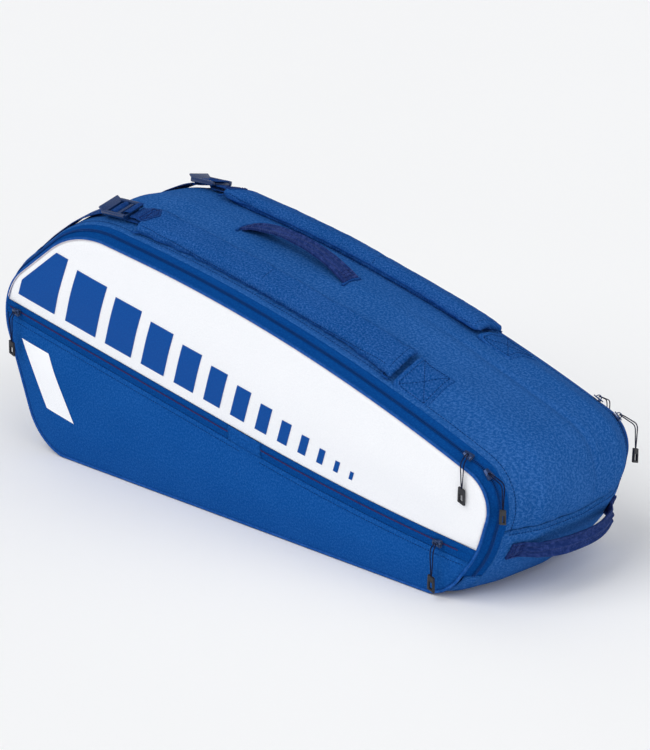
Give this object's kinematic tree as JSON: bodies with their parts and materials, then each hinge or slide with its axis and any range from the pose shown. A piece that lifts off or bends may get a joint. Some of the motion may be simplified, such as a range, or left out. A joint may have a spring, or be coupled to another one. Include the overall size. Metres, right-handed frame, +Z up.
{
  "type": "racket tournament bag",
  "caption": "Long tapered racket bag with two zipped side covers, a zipped front pocket, padded shoulder straps, a carry handle and an end handle.",
  "frame": {"origin": "on the floor under the bag, midway between the corners of its two ends and between its two side panels", "axes": "+X towards the narrow handle end, -Y towards the front cover with the pocket, +Z up from the base gusset"},
  "size_m": [0.792, 0.2575, 0.3168],
  "materials": {
    "white_coated_cloth": "smooth coated, satin",
    "melange_cloth": "woven, heathered royal blue",
    "pocket_cloth": "woven, deep royal blue",
    "lining_cloth": "plain woven",
    "strap_cloth": "woven over foam",
    "zip_tape": "herringbone tape",
    "zip_coil": "nylon coil",
    "slider_metal": "painted, worn to steel at the edges",
    "pull_cord": "braided cord",
    "pull_tab": "moulded, matte",
    "webbing": "ribbed webbing",
    "buckle_plastic": "moulded acetal",
    "piping": "coated piping"
  },
  "bodies": {
    "bag_body": {"top_gusset": "melange_cloth", "head_end_gusset": "melange_cloth", "base_gusset": "melange_cloth", "body_lining": "lining_cloth", "center_divider": "lining_cloth", "front_zip_tape_bag": "zip_tape", "front_zip_coil_bag": "zip_coil", "back_zip_tape_bag": "zip_tape", "back_zip_coil_bag": "zip_coil", "front_strap_anchor": "strap_cloth", "back_strap_anchor": "strap_cloth", "front_webbing_anchor": "webbing", "back_webbing_anchor": "webbing", "carry_handle_ends": "webbing", "end_handle_ends": "webbing"},
    "front_cover": {"front_panel": "white_coated_cloth", "pocket_backing": "lining_cloth", "front_pocket_panel": "pocket_cloth", "pocket_zip_left": "zip_tape", "pocket_zip_right": "zip_tape", "pocket_zip_bridge": "pocket_cloth", "front_piping": "piping", "front_cover_lining": "lining_cloth", "front_zip_tape_cover": "zip_tape", "front_zip_coil_cover": "zip_coil"},
    "back_cover": {"back_panel": "melange_cloth", "back_piping": "piping", "back_cover_lining": "lining_cloth", "back_zip_tape_cover": "zip_tape", "back_zip_coil_cover": "zip_coil"},
    "front_top_slider": {"front_top_slider": "slider_metal"},
    "front_end_slider": {"front_end_slider": "slider_metal"},
    "front_top_pull": {"front_top_pull_cord": "pull_cord", "front_top_pull_tab": "pull_tab"},
    "front_end_pull": {"front_end_pull_cord": "pull_cord", "front_end_pull_tab": "pull_tab"},
    "back_top_slider": {"back_top_slider": "slider_metal"},
    "back_end_slider": {"back_end_slider": "slider_metal"},
    "back_top_pull": {"back_top_pull_cord": "pull_cord", "back_top_pull_tab": "pull_tab"},
    "back_end_pull": {"back_end_pull_cord": "pull_cord", "back_end_pull_tab": "pull_tab"},
    "pocket_left_slider": {"pocket_left_slider": "slider_metal"},
    "pocket_left_pull": {"pocket_left_pull_cord": "pull_cord", "pocket_left_pull_tab": "pull_tab"},
    "pocket_right_slider": {"pocket_right_slider": "slider_metal"},
    "pocket_right_pull": {"pocket_right_pull_cord": "pull_cord", "pocket_right_pull_tab": "pull_tab"},
    "carry_handle": {"carry_handle": "webbing"},
    "end_handle": {"end_handle": "webbing"},
    "front_strap": {"front_strap_pad": "strap_cloth", "front_strap_tab": "webbing"},
    "front_buckle": {"front_strap_buckle": "buckle_plastic"},
    "front_webbing": {"front_strap_webbing": "webbing"},
    "back_strap": {"back_strap_pad": "strap_cloth", "back_strap_tab": "webbing"},
    "back_buckle": {"back_strap_buckle": "buckle_plastic"},
    "back_webbing": {"back_strap_webbing": "webbing"}
  },
  "joints": [
    {"name": "front_cover_hinge", "type": "hinge", "parent": "bag_body", "child": "front_cover", "pos_m": [0, -0.1195, 0], "axis": [1, 0, 0], "range_deg": [0, 55]},
    {"name": "back_cover_hinge", "type": "hinge", "parent": "bag_body", "child": "back_cover", "pos_m": [0, 0.1195, 0], "axis": [-1, 0, 0], "range_deg": [0, 55]},
    {"name": "front_top_slider_travel", "type": "hinge", "parent": "front_cover", "child": "front_top_slider", "pos_m": [-0.41967, -0.1071, -1.8099], "axis": [0, 1, 0], "range_deg": [-12, 0]},
    {"name": "front_end_slider_travel", "type": "hinge", "parent": "front_cover", "child": "front_end_slider", "pos_m": [0.32667, -0.1071, 0.11243], "axis": [0, 1, 0], "range_deg": [0, 30]},
    {"name": "front_top_pull_swing", "type": "hinge", "parent": "front_top_slider", "child": "front_top_pull", "pos_m": [0.33307, -0.11256, 0.16669], "axis": [1, 0, 0], "range_deg": [-80, 0]},
    {"name": "front_end_pull_swing", "type": "hinge", "parent": "front_end_slider", "child": "front_end_pull", "pos_m": [0.36071, -0.11256, 0.15299], "axis": [0, 1, 0], "range_deg": [-80, 0]},
    {"name": "back_top_slider_travel", "type": "hinge", "parent": "back_cover", "child": "back_top_slider", "pos_m": [-0.41967, 0.1071, -1.8099], "axis": [0, 1, 0], "range_deg": [-12, 0]},
    {"name": "back_end_slider_travel", "type": "hinge", "parent": "back_cover", "child": "back_end_slider", "pos_m": [0.32667, 0.1071, 0.11243], "axis": [0, 1, 0], "range_deg": [0, 30]},
    {"name": "back_top_pull_swing", "type": "hinge", "parent": "back_top_slider", "child": "back_top_pull", "pos_m": [0.33307, 0.11256, 0.16669], "axis": [1, 0, 0], "range_deg": [0, 80]},
    {"name": "back_end_pull_swing", "type": "hinge", "parent": "back_end_slider", "child": "back_end_pull", "pos_m": [0.36071, 0.11256, 0.15299], "axis": [0, 1, 0], "range_deg": [-80, 0]},
    {"name": "pocket_left_slider_travel", "type": "slide", "parent": "front_cover", "child": "pocket_left_slider", "axis": [0.9839, 0, -0.1786], "range_m": [0, 0.3369]},
    {"name": "pocket_left_pull_swing", "type": "hinge", "parent": "pocket_left_slider", "child": "pocket_left_pull", "pos_m": [-0.338, -0.1289, 0.16621], "axis": [1, 0, 0], "range_deg": [-80, 0]},
    {"name": "pocket_right_slider_travel", "type": "hinge", "parent": "front_cover", "child": "pocket_right_slider", "pos_m": [0.56769, -0.1185, 3.05083], "axis": [0, 1, 0], "range_deg": [0, 4.67]},
    {"name": "pocket_right_pull_swing", "type": "hinge", "parent": "pocket_right_slider", "child": "pocket_right_pull", "pos_m": [0.304, -0.1289, 0.06245], "axis": [1, 0, 0], "range_deg": [-80, 0]},
    {"name": "carry_handle_swing", "type": "hinge", "parent": "bag_body", "child": "carry_handle", "pos_m": [-0.0025, 0, 0.28042], "axis": [0.9837, 0, -0.1799], "range_deg": [-20, 20]},
    {"name": "end_handle_swing", "type": "hinge", "parent": "bag_body", "child": "end_handle", "pos_m": [0.374, 0, 0.06], "axis": [0, 1, 0], "range_deg": [-6, 30]},
    {"name": "front_strap_lift", "type": "hinge", "parent": "bag_body", "child": "front_strap", "pos_m": [0.218, -0.073, 0.22308], "axis": [0, 1, 0], "range_deg": [0, 4]},
    {"name": "front_buckle_tilt", "type": "hinge", "parent": "front_strap", "child": "front_buckle", "pos_m": [-0.18457, -0.07519, 0.30695], "axis": [-0.0047, 0.9698, 0.2438], "range_deg": [0, 30]},
    {"name": "front_webbing_lift", "type": "hinge", "parent": "bag_body", "child": "front_webbing", "pos_m": [-0.332, -0.073, 0.243], "axis": [0, 1, 0], "range_deg": [-18, 0]},
    {"name": "back_strap_lift", "type": "hinge", "parent": "bag_body", "child": "back_strap", "pos_m": [0.218, 0.065, 0.22389], "axis": [0, 1, 0], "range_deg": [0, 4]},
    {"name": "back_buckle_tilt", "type": "hinge", "parent": "back_strap", "child": "back_buckle", "pos_m": [-0.18462, 0.06682, 0.30922], "axis": [0.005, 0.9793, -0.2024], "range_deg": [0, 30]},
    {"name": "back_webbing_lift", "type": "hinge", "parent": "bag_body", "child": "back_webbing", "pos_m": [-0.332, 0.065, 0.24371], "axis": [0, 1, 0], "range_deg": [-18, 0]}
  ],
  "couplings": [
    {"joint": "front_webbing_lift", "follows": "front_strap_lift", "ratio": -4.25},
    {"joint": "back_webbing_lift", "follows": "back_strap_lift", "ratio": -4.25}
  ]
}
